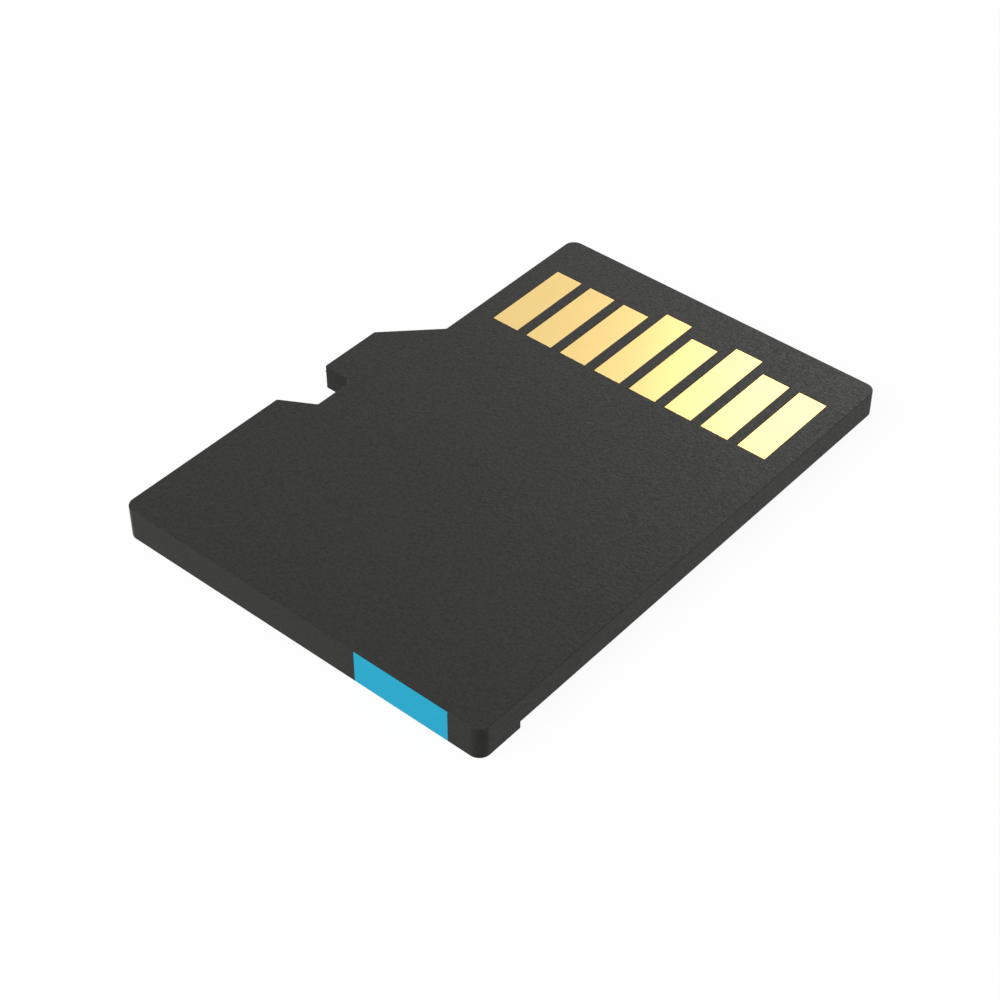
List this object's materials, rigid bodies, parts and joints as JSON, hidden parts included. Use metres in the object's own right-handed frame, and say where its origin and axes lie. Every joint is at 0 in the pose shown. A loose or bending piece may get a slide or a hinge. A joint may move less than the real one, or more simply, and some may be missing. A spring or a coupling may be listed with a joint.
{
  "type": "microsd memory card",
  "caption": "Thin black removable memory card with a row of gold contacts, a side notch, a grip lip under one end and a blue band on the grip end.",
  "frame": {"origin": "under the centre of the card's 11 by 15 mm outline, on the surface that its grip lip lies on", "axes": "+Z out of the contact face, +Y towards the contact end that enters a socket, +X towards the straight side"},
  "size_m": [0.011, 0.015, 0.0009],
  "materials": {
    "moulding": "moulded epoxy, matt charcoal black",
    "board": "saw-cut board edge, matt charcoal black",
    "contact_side_mask": "charcoal solder mask with a fine leathery grain",
    "inner_side_mask": "black solder mask, matt",
    "copper": "bare copper",
    "gold_plate": "smooth gold plating, satin",
    "silicon": "ground silicon, satin grey",
    "adhesive_film": "pale die-attach film",
    "gold_wire": "bright gold wire",
    "capacitor": "tan ceramic with tinned ends",
    "resistor": "dark ceramic with tinned ends",
    "solder": "dull tin solder",
    "blue_ink": "blue printed ink, even and smooth"
  },
  "bodies": {
    "root": {"moulded_body": "moulding", "laminate": "board", "contact_mask": "contact_side_mask", "inner_mask": "inner_side_mask", "inner_copper": "copper", "contact_vias": "copper", "contact_1": "gold_plate", "contact_2": "gold_plate", "contact_3": "gold_plate", "contact_4": "gold_plate", "contact_5": "gold_plate", "contact_6": "gold_plate", "contact_7": "gold_plate", "contact_8": "gold_plate", "memory_die_1": "silicon", "memory_die_2": "silicon", "memory_die_3": "silicon", "memory_die_4": "silicon", "controller_die": "silicon", "die_film_1": "adhesive_film", "die_film_2": "adhesive_film", "die_film_3": "adhesive_film", "die_film_4": "adhesive_film", "controller_film": "adhesive_film", "memory_wires": "gold_wire", "controller_wires": "gold_wire", "capacitor_1": "capacitor", "capacitor_2": "capacitor", "capacitor_3": "capacitor", "capacitor_4": "capacitor", "resistor_1": "resistor", "resistor_2": "resistor", "solder_joints": "solder", "colour_band": "blue_ink"}
  },
  "joints": []
}
